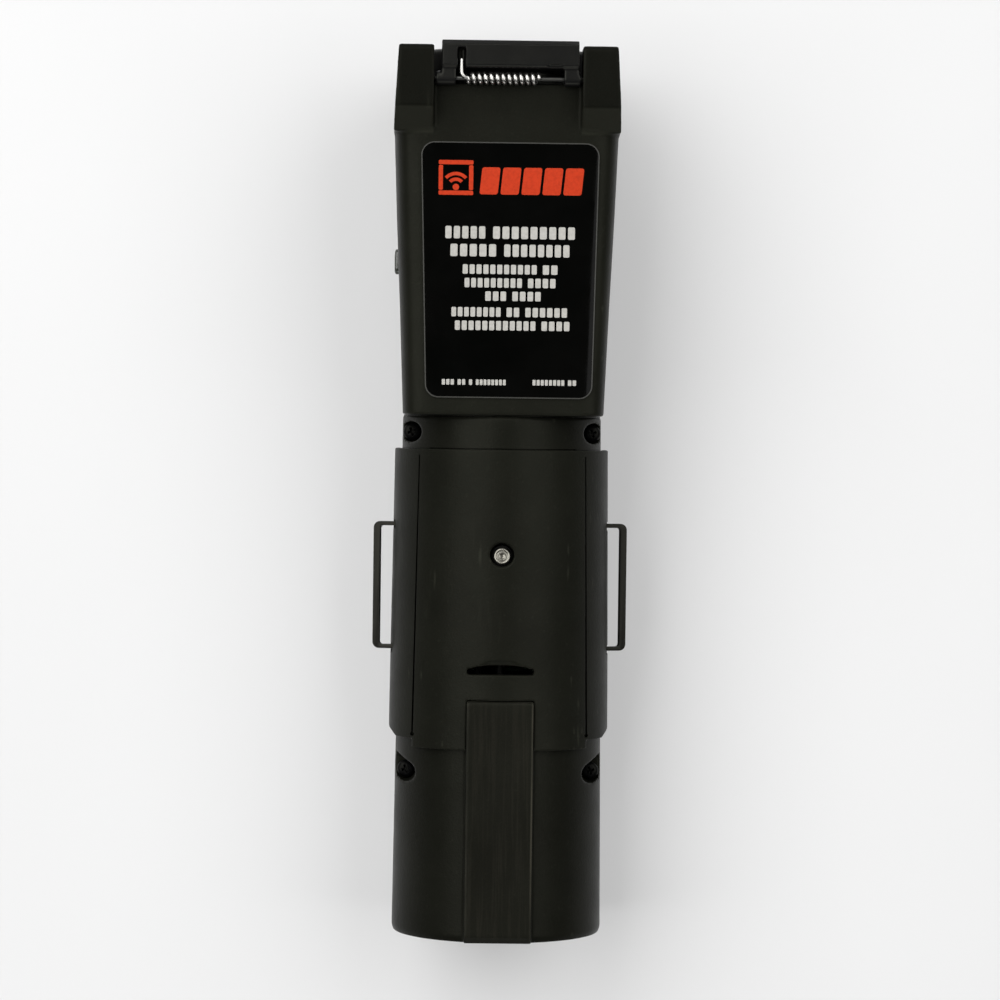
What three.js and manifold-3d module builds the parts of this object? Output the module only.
// In-line trailer brake controller: a hollow body with a seven-way plug nose at one end and a
// seven-way socket under a sprung lid at the other. Millimetres. X is across the unit, +Y runs
// along it to the lid, +Z is the labelled rear face. The unit lies on its flat front panel, z = 0.
import * as THREE from "three";
import { LoftGeometry } from "three/addons/geometries/LoftGeometry.js";
import { mergeVertices } from "three/addons/utils/BufferGeometryUtils.js";
import Module from "manifold-3d";

const wasm = await Module();
wasm.setup();

// ---- driving dimensions ----
const AXIS_Z = 27; // height of the connector axis over the front panel
const GAP = 0.3; // clearance between pieces that would touch
const RING_SEGMENTS = 40;

const LID_TOP_Y = 100.7;
const EAR_TOP_Y = 99.6;
const PIN_Y = 92.3;
const MOUTH_Y = 91.4; // rim of the socket barrel; the ears reach past it to hold the pin
const EAR_BREAK_Y = 86.0;
const EAR_FOOT_Y = 80.7;
const FLOOR_Y = 68.5; // face of the socket insert
const SEAM_Y = 17.7; // housing meets the shells
const UPPER_POCKET_Y = 13.8;
const SADDLE_TOP_Y = 10.0;
const SADDLE_END_Y = -57.4;
const LOWER_POCKET_Y = -63.4;
const TIP_Y = -100.7; // rim of the plug nose

const CAVITY_R = 23.95;
const KEYWAY_HALF = 8;
const KEYWAY_TOP = 25.7;
const PIN_UP = 28.9; // hinge pin over the connector axis
const PIN_R = 0.5;
const EAR_UP = 31.6;
const EAR_INNER_X = 16.5;
const EAR_OUTER_X = 24.3; // at the ears' tops; they widen towards the housing's flanks
const EAR_FLARE = 0.055; // widening per millimetre
const EAR_SWEEP_R = 9.6; // the ears' lower edge is an arc round the pin, so the skirt swings clear

const RIB_HALF = 7.5;
const RIB_UP = 25.3;
const RIB_END_Y = -46.3;
const NOSE_BORE_R = 21.6;
const POCKET_R = 2.3;
const UPPER_POCKET_X = 20.6;
const LOWER_POCKET_X = 21.1;
const CASE_SPLIT = 0.0; // the shells part on the connector axis

const SADDLE_T = 1.5;
const SCREW_Y = -13.8;
const SLIT_Y = [-40.4, -39.0];
const SLIT_HALF = 7.45;
const BAIL_Y = [-36.25, -6.95];
const BAIL_PIVOT_X = 22.9;
const BAIL_REACH_X = 29.05;
const BAIL_UP = -1.2; // pivot height over the connector axis
const BAIL_T = 1.3;
const BAIL_DROOP = THREE.MathUtils.degToRad(15);

// Stations of a skin: y, half width, rear height, front depth, rear power, front power, draft.
// The powers shape each half: 2 is round, higher is boxier. Draft narrows the rear face.
const HOUSING_SKIN = [
  [SEAM_Y, 22.7, 23.9, 27.6, 11, 4.0, 0.7],
  [42, 23.65, 24.9, 27.6, 11, 4.0, 0.8],
  [62, 24.55, 25.8, 27.2, 11, 3.2, 0.9],
  [EAR_FOOT_Y, 25.25, 26.7, 26.0, 11, 2.3, 0.9],
  [EAR_BREAK_Y, 25.3, 26.9, 25.7, 11, 2.1, 0.9],
  [MOUTH_Y, 24.95, 27.1, 25.3, 11, 2.0, 0.9],
];
const BODY_SKIN = [
  [TIP_Y, 23.6, 23.6, 23.6, 2, 2, 0],
  [TIP_Y + 1.2, 24.0, 24.0, 24.0, 2, 2, 0],
  [-60, 23.6, 23.6, 23.7, 2, 2, 0],
  [-54, 23.5, 23.5, 24.2, 2, 2.2, 0],
  [-47, 23.45, 23.45, 27.3, 2, 3.4, 0],
  [-41, 23.4, 23.4, 27.6, 2, 4.0, 0],
  [SADDLE_TOP_Y, 22.8, 23.2, 27.6, 2, 4.0, 0],
  [SEAM_Y - GAP, 22.75, 23.3, 27.6, 2, 4.0, 0],
];
const SPIGOT = [20.45, 20.9, 24.4, 2.2, 4.0, 0]; // the same values for the spigot's section
const SPIGOT_BORE = [18.5, 19.0, 22.2, 2.2, 4.0, 0];
const WALL = 2.4;

// ---- materials ----
const finish = (color, roughness, metalness) =>
  new THREE.MeshStandardMaterial({ color, roughness, metalness });
const BLACK_PLASTIC = finish(0x23241f, 0.55, 0);
const SMOOTH_PLASTIC = finish(0x1b1b1a, 0.35, 0);
const RUBBER = finish(0x161616, 0.85, 0);
const STEEL = finish(0xb9bbbd, 0.3, 1);
const BLACK_STEEL = finish(0x1c1a18, 0.45, 0.6);
const BRASS = finish(0xb08d45, 0.35, 1);
const LABEL_GLOSS = finish(0x060606, 0.15, 0);
const BOARD_GREEN = finish(0x1f5132, 0.5, 0);
const CHIP_BLACK = finish(0x111112, 0.5, 0);
const ALUMINIUM = finish(0xa8abad, 0.4, 1);
const LENS = finish(0x303a34, 0.2, 0);

// ---- solid helpers ----
function solid(geometry) {
  const bare = new THREE.BufferGeometry();
  bare.setAttribute("position", geometry.getAttribute("position"));
  bare.setIndex(geometry.getIndex());
  const merged = mergeVertices(bare, 1e-4);
  const made = new wasm.Manifold(
    new wasm.Mesh({
      numProp: 3,
      vertProperties: merged.attributes.position.array,
      triVerts: new Uint32Array(merged.index.array),
    }),
  );
  if (made.volume() < 0) throw new Error("a solid is inside out");
  return made;
}

function toGeometry(manifold) {
  const mesh = manifold.getMesh();
  const geometry = new THREE.BufferGeometry();
  geometry.setAttribute("position", new THREE.BufferAttribute(mesh.vertProperties, 3));
  geometry.setIndex(new THREE.BufferAttribute(mesh.triVerts, 1));
  geometry.computeVertexNormals();
  return geometry;
}

const join = (...solids) => solids.reduce((all, one) => all.add(one));
const cut = (base, ...tools) => tools.reduce((all, one) => all.subtract(one), base);

// Heights in every helper are measured from the connector axis.
function block([x0, x1], [y0, y1], [z0, z1]) {
  const box = new THREE.BoxGeometry(x1 - x0, y1 - y0, z1 - z0);
  box.translate((x0 + x1) / 2, (y0 + y1) / 2, AXIS_Z + (z0 + z1) / 2);
  return solid(box);
}

function rod(axis, radius, from, to, [u, v], segments = 24, endRadius = radius) {
  const bar = new THREE.CylinderGeometry(endRadius, radius, to - from, segments);
  bar.translate(0, (from + to) / 2, 0);
  if (axis === "x") bar.rotateZ(-Math.PI / 2).translate(0, u, AXIS_Z + v);
  if (axis === "y") bar.translate(u, 0, AXIS_Z + v);
  if (axis === "z") bar.rotateX(Math.PI / 2).translate(u, v, AXIS_Z);
  return solid(bar);
}

// An outline in the Y-Z plane, [y, height] pairs anticlockwise seen from +X, swept from x0 to x1.
function sideProfile(points, x0, x1) {
  const shape = new THREE.Shape(points.map(([y, z]) => new THREE.Vector2(y, z)));
  const body = new THREE.ExtrudeGeometry(shape, { depth: x1 - x0, bevelEnabled: false });
  body.applyMatrix4(new THREE.Matrix4().set(0, 0, 1, x0, 1, 0, 0, 0, 0, 1, 0, AXIS_Z, 0, 0, 0, 1));
  return solid(body);
}

// A ring of points round the long axis: two half superellipses that meet on the split plane.
function ring([y, width, rear, front, rearPower, frontPower, draft], grow = 0) {
  const points = [];
  for (let i = 0; i < RING_SEGMENTS; i++) {
    const angle = (2 * Math.PI * i) / RING_SEGMENTS;
    const c = Math.cos(angle);
    const s = Math.sin(angle);
    const power = s >= 0 ? rearPower : frontPower;
    const height = (s >= 0 ? rear : front) + grow;
    const z = height * Math.sign(s) * Math.abs(s) ** (2 / power);
    const lean = draft * Math.max(z / height, 0) * Math.max(s, 0);
    const x = Math.sign(c) * ((width + grow) * Math.abs(c) ** (2 / power) - lean * Math.abs(c));
    points.push(new THREE.Vector3(-x, y, AXIS_Z + z));
  }
  return points;
}

function loft(stations, grow = 0) {
  const sections = stations.map((station) => ring(station, grow));
  return solid(new LoftGeometry(sections, { capStart: true, capEnd: true }));
}

// The skin's station at any y, by straight interpolation between its neighbours.
function stationAt(skin, y) {
  let i = 1;
  while (i < skin.length - 1 && skin[i][0] < y) i++;
  const [a, b] = [skin[i - 1], skin[i]];
  const share = (y - a[0]) / (b[0] - a[0]);
  return a.map((value, k) => (k === 0 ? y : value + share * (b[k] - value)));
}

const skinBetween = (skin, y0, y1) => [
  stationAt(skin, y0),
  ...skin.filter(([y]) => y > y0 + 0.01 && y < y1 - 0.01),
  stationAt(skin, y1),
];

// A tube of a few sides along hand-placed points, heights from the connector axis.
function tube(points, radius, sides, steps) {
  const path = new THREE.CatmullRomCurve3(
    points.map(([x, y, z]) => new THREE.Vector3(x, y, AXIS_Z + z)),
    false,
    "centripetal",
  );
  const section = new THREE.Shape();
  for (let i = 0; i < sides; i++) {
    const angle = (2 * Math.PI * i) / sides;
    const method = i ? "lineTo" : "moveTo";
    section[method](radius * Math.cos(angle), radius * Math.sin(angle));
  }
  section.closePath();
  return new THREE.ExtrudeGeometry(section, { steps, bevelEnabled: false, extrudePath: path });
}

const unit = new THREE.Group();
function piece(name, shape, material) {
  const geometry = shape.isBufferGeometry ? shape : toGeometry(shape);
  const mesh = new THREE.Mesh(geometry, material);
  mesh.name = name;
  unit.add(mesh);
}

// ---- the seven-way pattern: six flat contacts and one round pin ----
const CONTACT_RING_R = 14.6;
const CONTACT_ANGLES = [60, 0, -60, -120, 180, 120].map((a) => THREE.MathUtils.degToRad(a + 30));

// A flat contact, width across, thickness towards the axis, between two y values.
function contact(angle, width, thickness, y0, y1) {
  const bar = new THREE.BoxGeometry(thickness, y1 - y0, width);
  bar.translate(CONTACT_RING_R, (y0 + y1) / 2, 0).rotateY(-angle).translate(0, 0, AXIS_Z);
  return solid(bar);
}

// ---- socket end ----
function socketHousing() {
  let shell = loft(HOUSING_SKIN);
  const sweep = (y) => [y, PIN_UP - Math.sqrt(EAR_SWEEP_R ** 2 - (y - PIN_Y) ** 2)];
  const earSide = [
    sweep(EAR_TOP_Y),
    [EAR_TOP_Y, EAR_UP - 0.9],
    [EAR_TOP_Y - 0.9, EAR_UP],
    [EAR_BREAK_Y, EAR_UP - 0.3],
    [EAR_FOOT_Y, 26.3],
    [EAR_FOOT_Y, 15],
    [MOUTH_Y, 15],
    ...[MOUTH_Y, PIN_Y, 93.8, 95.3, 96.8, 98.3].map(sweep),
  ];
  const shear = (side) => [1, 0, 0, 0, -side * EAR_FLARE, 1, 0, 0, 0, 0, 1, 0, side * EAR_FLARE * EAR_TOP_Y, 0, 0, 1];
  for (const side of [-1, 1]) {
    const span = side > 0 ? [EAR_INNER_X - 2, EAR_OUTER_X] : [-EAR_OUTER_X, 2 - EAR_INNER_X];
    const ear = sideProfile(earSide, ...span).transform(shear(side));
    shell = shell.add(cut(ear, block([-EAR_INNER_X, EAR_INNER_X], [0, 110], [0, 40])));
  }
  const cavity = rod("y", CAVITY_R, FLOOR_Y, MOUTH_Y + 1, [0, 0], 48);
  const keyway = block([-KEYWAY_HALF, KEYWAY_HALF], [FLOOR_Y, MOUTH_Y + 1], [18, KEYWAY_TOP]);
  const insertBore = rod("y", 22.5, 58, FLOOR_Y + 1, [0, 0], 48);
  const inside = join(
    loft([[SEAM_Y - 1, ...SPIGOT], [25.6, ...SPIGOT]], 0.45),
    loft([[25, 20.6, 21.2, 24.6, 2.6, 4, 0], [31, 21.6, 22.5, 24.6, 5, 4, 0], [57.9, 22.4, 23.4, 24.2, 5, 3.4, 0]]),
  );
  const ledge = rod("y", 20.6, 57, 59, [0, 0], 32);
  const pinBore = rod("x", PIN_R + 0.06, -23.2, 23.2, [PIN_Y, PIN_UP]);
  const belly = block([-40, 40], [0, 110], [-40, -AXIS_Z]);
  const lightHole = rod("x", 1.5 + GAP, -30, -20, [52.7, 0], 16);
  return cut(shell, cavity, keyway, insertBore, inside, ledge, pinBore, belly, lightHole);
}
piece("socket_housing", socketHousing(), BLACK_PLASTIC);

const BLADE_W = 8.0;
const BLADE_T = 1.3;
function socketInsert() {
  let body = join(
    rod("y", 22.2, 59.3, FLOOR_Y - 0.1, [0, 0], 40),
    rod("y", 11.5, FLOOR_Y - 1, FLOOR_Y + 3, [0, 0], 24),
  );
  for (const angle of CONTACT_ANGLES) {
    body = body.subtract(contact(angle, BLADE_W + 2 * GAP, BLADE_T + 2 * GAP, 55, 75));
  }
  return body.subtract(rod("y", 2.5 + GAP, 55, 75, [0, 0], 16));
}
piece("socket_insert", socketInsert(), SMOOTH_PLASTIC);

CONTACT_ANGLES.forEach((angle, i) => {
  const blade = join(
    contact(angle, BLADE_W, BLADE_T, 54, 86),
    contact(angle, BLADE_W - 2, BLADE_T - 0.6, 85.5, 88),
  );
  piece(`socket_blade_${i + 1}`, blade, BRASS);
});
piece(
  "socket_pin",
  join(rod("y", 2.5, 54, 84, [0, 0], 16), rod("y", 2.5, 84, 86, [0, 0], 16, 1.4)),
  BRASS,
);

// ---- lid, hinge pin, spring and gasket ----
const LID_R = 24.95;
const LID_FLOOR_Y = 97.6; // inner face of the cup
const CROWN_Y = LID_TOP_Y - 0.9; // the hinge bar stands a little over the crown
const SKIRT_Y = 92.6;
const LID_BAR_X = [-14.8, 15.6];
const LID_BAR_Y = 94.5;
const LID_BAR_UP = 31.2;
const LEG_GROOVE_X = [-11.3, -9.5];
const KNUCKLE_R = 1.6;
function lid() {
  const cup = cut(
    rod("y", LID_R, SKIRT_Y, CROWN_Y - 0.9, [0, 0], 48),
    rod("y", 22.6, SKIRT_Y - 1, LID_FLOOR_Y, [0, 0], 48),
  );
  const crown = rod("y", LID_R, CROWN_Y - 0.9, CROWN_Y, [0, 0], 48, LID_R - 1.6);
  const barSide = [
    [LID_BAR_Y, 23.4],
    [LID_TOP_Y, 21.5],
    [LID_TOP_Y, LID_BAR_UP - 1.1],
    [LID_TOP_Y - 1.1, LID_BAR_UP],
    [LID_BAR_Y + 0.6, LID_BAR_UP],
    [LID_BAR_Y, LID_BAR_UP - 0.6],
  ];
  const bar = sideProfile(barSide, ...LID_BAR_X);
  const arms = [[-16.1, -11.7], [12.4, 16.1]].map((span) =>
    join(
      rod("x", KNUCKLE_R, span[0], span[1], [PIN_Y, PIN_UP], 20),
      block(
        [Math.max(span[0], LID_BAR_X[0]), Math.min(span[1], LID_BAR_X[1])],
        [PIN_Y, LID_BAR_Y + 1],
        [PIN_UP - KNUCKLE_R, PIN_UP + KNUCKLE_R],
      ),
    ),
  );
  const hook = join(
    block([-5, 5], [86.5, 98.2], [18.2, 20.2]),
    block([-5, 5], [86.5, 88.2], [19.4, 22.0]),
  );
  const legGroove = block(LEG_GROOVE_X, [90, 99.0], [PIN_UP - 0.9, 33]);
  const bore = rod("x", PIN_R + 0.05, -20, 20, [PIN_Y, PIN_UP]);
  return cut(join(cup, crown, bar, ...arms, hook), legGroove, bore);
}
piece("lid", lid(), SMOOTH_PLASTIC);

piece("hinge_pin", rod("x", PIN_R, -22.9, 22.9, [PIN_Y, PIN_UP]), STEEL);

const gasket = cut(
  rod("y", 24.8, MOUTH_Y + 0.2, SKIRT_Y - 0.2, [0, 0], 48),
  rod("y", 22.8, MOUTH_Y - 1, SKIRT_Y + 1, [0, 0], 48),
);
piece("lid_gasket", gasket, RUBBER);

// The spring: a close coil on the pin with one leg in the lid's groove. It rides with the lid.
const SPRING_WIRE_R = 0.48;
const SPRING_MEAN_R = 1.04;
const SPRING_X = [-9.0, 6.8];
const SPRING_TURNS = 12;
const SPRING_STEPS = 9;
const LEG_X = -10.4;
function lidSpring() {
  const legUp = PIN_UP + SPRING_MEAN_R;
  const points = [
    [LEG_X, 96.4, legUp],
    [LEG_X, 94.6, legUp],
    [LEG_X + 0.3, 93.2, legUp],
  ];
  for (let i = 0; i <= SPRING_TURNS * SPRING_STEPS; i++) {
    const share = i / (SPRING_TURNS * SPRING_STEPS);
    const angle = Math.PI / 2 + share * SPRING_TURNS * 2 * Math.PI;
    const x = SPRING_X[0] + share * (SPRING_X[1] - SPRING_X[0]);
    points.push([
      x,
      PIN_Y + SPRING_MEAN_R * Math.cos(angle),
      PIN_UP + SPRING_MEAN_R * Math.sin(angle),
    ]);
  }
  return tube(points, SPRING_WIRE_R, 5, points.length - 1);
}
piece("lid_spring", lidSpring(), STEEL);

// ---- label and status light on the housing ----
const LABEL_Y = [21.2, 78.1];
const LABEL_HALF = [18.65, 19.9]; // half width at the low and the high end
const LABEL_SHIFT = [1.0, 0.7]; // the label sits a little to the right, more at its low end
function label() {
  const r = 3;
  const [y0, y1] = LABEL_Y;
  const [left0, left1] = LABEL_HALF.map((half, i) => LABEL_SHIFT[i] - half);
  const [right0, right1] = LABEL_HALF.map((half, i) => LABEL_SHIFT[i] + half);
  const shape = new THREE.Shape();
  shape.moveTo(left0 + r, y0);
  shape.lineTo(right0 - r, y0);
  shape.quadraticCurveTo(right0, y0, right0, y0 + r);
  shape.lineTo(right1, y1 - r);
  shape.quadraticCurveTo(right1, y1, right1 - r, y1);
  shape.lineTo(left1 + r, y1);
  shape.quadraticCurveTo(left1, y1, left1, y1 - r);
  shape.lineTo(left0, y0 + r);
  shape.quadraticCurveTo(left0, y0, left0 + r, y0);
  const sheet = new THREE.ExtrudeGeometry(shape, { depth: 9, bevelEnabled: false, curveSegments: 4 });
  sheet.translate(0, 0, AXIS_Z + 20.5);
  const stretch = skinBetween(HOUSING_SKIN, LABEL_Y[0] - 2, LABEL_Y[1] + 2);
  return cut(loft(stretch, 0.45).intersect(solid(sheet)), loft(stretch.map(longer), 0.3));
}
// A station moved a little outwards along y, so that a cutter passes both ends of its blank.
function longer(station, i, all) {
  const step = i === 0 ? -0.5 : i === all.length - 1 ? 0.5 : 0;
  return [station[0] + step, ...station.slice(1)];
}
piece("label", label(), LABEL_GLOSS);

const light = join(
  rod("x", 1.5, -23.6, -21.0, [52.7, 0], 16),
  cut(
    rod("x", 2.9, -25.1, -24.3, [52.7, 0], 16),
    block([-30, -20], [40, 60], [1.5, 9]),
    block([-30, -20], [40, 60], [-9, -1.5]),
  ),
  rod("x", 1.4, -24.5, -23.5, [52.7, 0], 16),
);
piece("status_light", light, LENS);

// ---- body shells ----
const SPIGOT_Y = 24;
const SEAL_Y = [20.2, 21.8];
function bodyHollow() {
  const inset = ([y, width, rear, front, ...rest]) => [
    y, width - WALL, rear - WALL, front - WALL - 0.4, ...rest,
  ];
  return loft([
    [-83, 20.6, 20.6, 20.6, 2, 2, 0],
    ...skinBetween(BODY_SKIN, -80, SADDLE_TOP_Y).map(inset),
    [SEAM_Y - 2.5, ...SPIGOT_BORE],
    [SPIGOT_Y + 1, ...SPIGOT_BORE],
  ]);
}

function bodyBlank() {
  const spigot = [
    [SEAM_Y - 1, ...SPIGOT],
    [SPIGOT_Y, ...SPIGOT],
  ];
  const rib = sideProfile(
    [
      [TIP_Y, 12],
      [RIB_END_Y, 12],
      [RIB_END_Y, RIB_UP - 0.5],
      [RIB_END_Y - 0.5, RIB_UP],
      [TIP_Y + 1.5, RIB_UP],
      [TIP_Y, RIB_UP - 1.2],
    ],
    -RIB_HALF,
    RIB_HALF,
  );
  let blank = join(loft(BODY_SKIN), loft(spigot), rib);
  blank = blank.subtract(block([-40, 40], [-110, 40], [-40, -AXIS_Z]));
  const noseBore = rod("y", NOSE_BORE_R, TIP_Y - 1, -82, [0, 0], 48);
  const sealGroove = cut(
    loft([[SEAL_Y[0] - GAP, ...SPIGOT], [SEAL_Y[1] + GAP, ...SPIGOT]], 1),
    loft([[SEAL_Y[0] - 1, ...SPIGOT], [SEAL_Y[1] + 1, ...SPIGOT]], -0.9),
  );
  blank = cut(blank, bodyHollow(), noseBore, sealGroove);
  for (const side of [-1, 1]) {
    const groove = rod("y", 1.15, BAIL_Y[0] - 0.4, BAIL_Y[1] + 0.4, [side * BAIL_PIVOT_X, BAIL_UP], 12);
    blank = blank.subtract(groove);
  }
  return blank;
}

// The lower pockets sit further out, so their holes stop sooner, inside the round nose.
const screwPlaces = [];
for (const [x, y, end] of [[UPPER_POCKET_X, UPPER_POCKET_Y, -8.4], [LOWER_POCKET_X, LOWER_POCKET_Y, -6]]) {
  for (const side of [-1, 1]) screwPlaces.push([side * x, y, end]);
}
// Bosses carry the case screws: the rear one holds the head, the front one the thread.
const POCKET_FLOOR = 3.6;
function bosses(z0, z1) {
  return screwPlaces.map(([x, y]) =>
    block([x - Math.sign(x) * 0.5 - 2.2, x - Math.sign(x) * 0.5 + 2.2], [y - 3, y + 3], [z0, z1]),
  );
}

const blank = bodyBlank();
const fullBody = loft(BODY_SKIN).subtract(block([-40, 40], [-110, 40], [-40, -AXIS_Z]));

const bailLegs = [-1, 1].flatMap((side) => [[side, BAIL_Y[0] + 0.5], [side, BAIL_Y[1] - 0.5]]);

function rearShell() {
  const half = blank.intersect(block([-40, 40], [-110, 40], [CASE_SPLIT + GAP / 2, 40]));
  const posts = bosses(CASE_SPLIT + GAP / 2, 12).map((b) => b.intersect(fullBody));
  const nutBoss = rod("z", 4.2, 15, 22.5, [0, SCREW_Y], 20);
  let shell = join(half, ...posts, nutBoss);
  for (const [x, y] of screwPlaces) {
    const round = rod("z", POCKET_R, POCKET_FLOOR, 40, [x, y], 20);
    const corner = rod("z", 0.5, POCKET_FLOOR, 40, [x + Math.sign(x) * 2.4, y + 3.6], 8);
    const pocket = y === LOWER_POCKET_Y ? wasm.Manifold.hull([round, corner]) : round;
    shell = cut(shell, pocket, rod("z", 1.15 + 0.25, -1, POCKET_FLOOR + 1, [x, y], 12));
  }
  for (const [side, y] of bailLegs) {
    const reach = side > 0 ? [21.9, 40] : [-40, -21.9];
    shell = shell.subtract(block(reach, [y - 0.9, y + 0.9], [-1, BAIL_UP + 3.4]));
  }
  const latchSlot = block([-SLIT_HALF, SLIT_HALF], SLIT_Y, [19, 40]);
  const nutBore = rod("z", 2.4 + GAP, 17.5, 40, [0, SCREW_Y], 16);
  return cut(shell, latchSlot, nutBore);
}
piece("rear_shell", rearShell(), BLACK_PLASTIC);

function frontShell() {
  const half = blank.intersect(block([-40, 40], [-110, 40], [-40, CASE_SPLIT - GAP / 2]));
  const posts = bosses(-14, CASE_SPLIT - GAP / 2).map((b) => b.intersect(fullBody));
  let shell = join(half, ...posts);
  for (const [x, y, end] of screwPlaces) {
    shell = shell.subtract(rod("z", 1.15 + 0.25, end, 1, [x, y], 12));
  }
  const badgeRecess = block([-9, 9], [-30, 6], [-AXIS_Z - 1, -AXIS_Z + 0.5]);
  return shell.subtract(badgeRecess);
}
piece("front_shell", frontShell(), BLACK_PLASTIC);

const seal = cut(
  loft([[SEAL_Y[0], ...SPIGOT], [SEAL_Y[1], ...SPIGOT]], 0.25),
  loft([[SEAL_Y[0] - 1, ...SPIGOT], [SEAL_Y[1] + 1, ...SPIGOT]], -0.6),
);
piece("body_seal", seal, RUBBER);

screwPlaces.forEach(([x, y, end], i) => {
  const screw = cut(
    join(
      rod("z", 1.95, POCKET_FLOOR + 0.2, POCKET_FLOOR + 1.8, [x, y], 16, 1.5),
      rod("z", 1.15, end + 0.6, POCKET_FLOOR + 0.5, [x, y], 12),
    ),
    block([x - 1.1, x + 1.1], [y - 0.3, y + 0.3], [POCKET_FLOOR + 0.8, 20]),
    block([x - 0.3, x + 0.3], [y - 1.1, y + 1.1], [POCKET_FLOOR + 0.8, 20]),
  );
  piece(`case_screw_${i + 1}`, screw, BLACK_STEEL);
});

// ---- strap saddle, its screw and the two bails ----
const WING_END_Y = SADDLE_END_Y + 1.9;
const WING_GROOVE_X = [19.7, 18.75]; // at the grooves' lower and upper ends
const WING_LOW = -5;
function strapSaddle() {
  const skin = skinBetween(BODY_SKIN, SADDLE_END_Y, SADDLE_TOP_Y);
  const outer = loft(skin, SADDLE_T + 0.15);
  const inner = loft(skin.map(longer), 0.15 + GAP / 2);
  let wrap = cut(outer, inner, block([-40, 40], [-110, 40], [-60, WING_LOW]));
  const notch = block([-RIB_HALF - 0.2, RIB_HALF + 0.2], [SADDLE_END_Y - 1, RIB_END_Y + 0.25], [15, 40]);
  const slit = block([-SLIT_HALF, SLIT_HALF], SLIT_Y, [15, 40]);
  const screwHole = rod("z", 2.65, 20, 40, [0, SCREW_Y], 24);
  wrap = cut(wrap, notch, slit, screwHole);
  for (const side of [-1, 1]) {
    const x = side * WING_GROOVE_X[0];
    const top = side * WING_GROOVE_X[1];
    const ends = [];
    for (const [at, y] of [[x, SADDLE_END_Y + 2.6], [top, SADDLE_TOP_Y - 1.4]]) {
      ends.push(block([at - 0.3, at + 0.3], [y - 0.1, y + 0.1], [8, 40]));
    }
    const groove = wasm.Manifold.hull(ends);
    const shallow = groove.intersect(cut(loft(skin, 3), loft(skin.map(longer), SADDLE_T - 0.75)));
    const outside = side > 0 ? [x, 40] : [-40, x];
    const corner = sideProfile(
      [
        [SADDLE_END_Y - 1, -30],
        [WING_END_Y, -30],
        [WING_END_Y, 30],
        [SADDLE_END_Y - 1, 30],
      ],
      ...outside,
    );
    const pivotRoom = rod("y", 1.15, BAIL_Y[0] - 0.4, BAIL_Y[1] + 0.4, [side * BAIL_PIVOT_X, BAIL_UP], 12);
    wrap = cut(wrap, shallow, corner, pivotRoom);
    for (const [, y] of bailLegs.filter(([at]) => at === side)) {
      const reach = side > 0 ? [22, 40] : [-40, -22];
      wrap = wrap.subtract(block(reach, [y - 0.9, y + 0.9], [BAIL_UP - 1.6, 4.6]));
    }
  }
  return wrap;
}
piece("strap_saddle", strapSaddle(), BLACK_PLASTIC);

const saddleScrew = cut(
  join(
    rod("z", 1.9, 23.0, 24.3, [0, SCREW_Y], 20, 1.75),
    rod("z", 2.35, 22.9, 23.2, [0, SCREW_Y], 20),
    rod("z", 1.0, 17.9, 23.0, [0, SCREW_Y], 16),
  ),
  rod("z", 0.75, 23.5, 25, [0, SCREW_Y], 6),
);
piece("saddle_screw", saddleScrew, STEEL);
piece(
  "saddle_nut",
  cut(rod("z", 2.4, 17.8, 22.5, [0, SCREW_Y], 16), rod("z", 1.3, 17, 23, [0, SCREW_Y], 16)),
  BRASS,
);

function bail(side) {
  const reach = (BAIL_REACH_X - BAIL_PIVOT_X) / Math.cos(BAIL_DROOP);
  const [y0, y1] = BAIL_Y;
  const leg = 0.95;
  const bar = 1.5;
  const outline = new THREE.Shape();
  outline.moveTo(-0.65, y0);
  outline.lineTo(reach - 1.4, y0);
  outline.quadraticCurveTo(reach, y0, reach, y0 + 1.4);
  outline.lineTo(reach, y1 - 1.4);
  outline.quadraticCurveTo(reach, y1, reach - 1.4, y1);
  outline.lineTo(-0.65, y1);
  outline.closePath();
  const window = new THREE.Path();
  window.moveTo(0.65, y0 + leg);
  window.lineTo(0.65, y1 - leg);
  window.lineTo(reach - bar, y1 - leg);
  window.lineTo(reach - bar, y0 + leg);
  window.closePath();
  outline.holes.push(window);
  const loop = new THREE.ExtrudeGeometry(outline, {
    depth: BAIL_T, bevelEnabled: false, curveSegments: 4,
  });
  loop.translate(0, 0, -BAIL_T / 2);
  if (side < 0) loop.rotateY(Math.PI);
  loop.rotateY(side * BAIL_DROOP);
  loop.translate(side * BAIL_PIVOT_X, 0, AXIS_Z + BAIL_UP);
  return loop;
}
piece("bail_left", bail(-1), BLACK_STEEL);
piece("bail_right", bail(1), BLACK_STEEL);

// ---- plug end ----
const PLUG_FACE_Y = TIP_Y + 2.6;
const PLUG_BACK_Y = -84;
function plugInsert() {
  let body = rod("y", NOSE_BORE_R - GAP, PLUG_FACE_Y, PLUG_BACK_Y, [0, 0], 40);
  for (const angle of CONTACT_ANGLES) {
    body = body.subtract(contact(angle, 9.6, 3.0, PLUG_FACE_Y - 1, PLUG_BACK_Y + 1));
  }
  return body.subtract(rod("y", 3.9, PLUG_FACE_Y - 1, PLUG_BACK_Y + 1, [0, 0], 20));
}
piece("plug_insert", plugInsert(), SMOOTH_PLASTIC);

CONTACT_ANGLES.forEach((angle, i) => {
  const sleeve = cut(
    contact(angle, 9.0, 2.4, PLUG_FACE_Y + 0.8, -80),
    contact(angle, 8.2, 1.5, PLUG_FACE_Y - 1, -86),
  );
  piece(`plug_terminal_${i + 1}`, sleeve, BRASS);
});
piece(
  "plug_terminal_7",
  cut(rod("y", 3.5, PLUG_FACE_Y + 0.8, -80, [0, 0], 20), rod("y", 2.6, PLUG_FACE_Y - 1, -86, [0, 0], 20)),
  BRASS,
);

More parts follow.
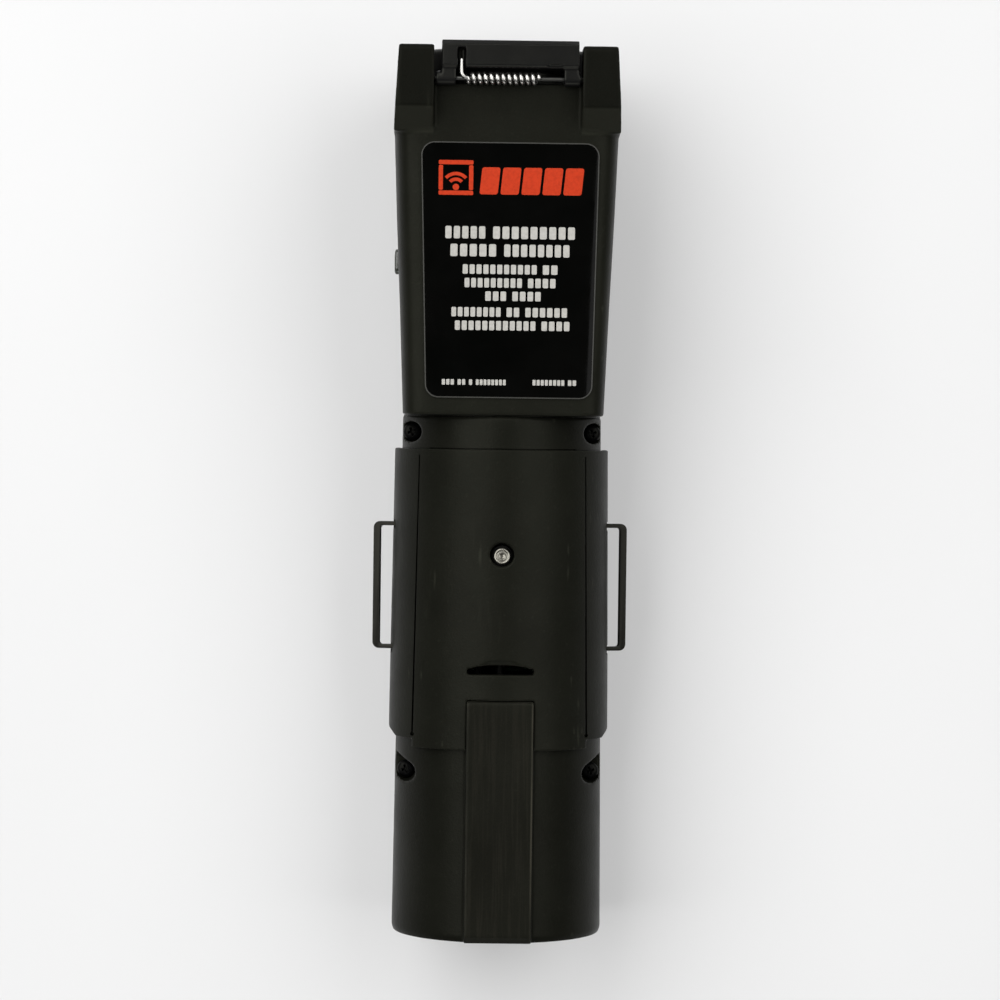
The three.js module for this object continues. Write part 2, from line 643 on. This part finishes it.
// ---- electronics on a board just in front of the axis ----
const BOARD_UP = -15.5;
const BOARD_T = 1.6;
const BOARD_TOP = BOARD_UP + BOARD_T;
piece("circuit_board", block([-14.5, 14.5], [-42, 18], [BOARD_UP, BOARD_TOP]), BOARD_GREEN);

const onBoard = BOARD_TOP + GAP;
function heatSink() {
  let sink = block([-13, -1], [-16, 8], [onBoard, onBoard + 9]);
  for (const x of [-11.5, -8.6, -5.7, -2.8]) {
    sink = sink.subtract(block([x - 0.8, x + 0.8], [-17, 9], [onBoard + 2.4, onBoard + 10]));
  }
  return sink;
}
piece("heat_sink", heatSink(), ALUMINIUM);
[-12, 4].forEach((y, i) => {
  const tab = block([0.6, 4.9], [y - 5, y + 3], [onBoard, onBoard + 9]);
  piece(`power_transistor_${i + 1}`, tab, CHIP_BLACK);
});
[-24, -34].forEach((y, i) => {
  piece(`capacitor_${i + 1}`, rod("z", 4, onBoard, onBoard + 11, [-8, y], 20), CHIP_BLACK);
});
piece("control_chip", block([5.5, 12.5], [-14, -7], [onBoard, onBoard + 1.2]), CHIP_BLACK);
piece("radio_module", block([4, 13.5], [-38, -22], [onBoard, onBoard + 2.4]), ALUMINIUM);
piece("wire_header_1", block([-10, 10], [11, 16], [onBoard, onBoard + 5]), SMOOTH_PLASTIC);
piece("wire_header_2", block([-2.5, 2.5], [-41, -37], [onBoard, onBoard + 5]), SMOOTH_PLASTIC);

// Six wires run from plug to socket, each in its own lane over the board; the brake wire starts
// on the board.
const WIRE_R = 0.9;
const WIRE_LANES = [[0, 10], [9.5, 6], [13, 1.5], [-4, 2], [-13, 1.5], [-9.5, 6]];
CONTACT_ANGLES.forEach((angle, i) => {
  const [cx, cz] = [CONTACT_RING_R * Math.cos(angle), CONTACT_RING_R * Math.sin(angle)];
  const [lane, height] = WIRE_LANES[i];
  const points = [
    [cx, -79.3, cz],
    [cx, -74, cz],
    [lane, -58, height],
    [lane, 28, height],
    [cx, 48, cz],
    [cx, 53.3, cz],
  ];
  piece(`through_wire_${i + 1}`, tube(points, WIRE_R, 6, 14), RUBBER);
});
const brakeWire = [
  [6, 16.6, BOARD_TOP + 3],
  [6, 22, BOARD_TOP + 4],
  [4.5, 36, -4],
  [0, 48, 0],
  [0, 53.3, 0],
];
piece("brake_wire", tube(brakeWire, WIRE_R, 6, 10), RUBBER);

export default unit;
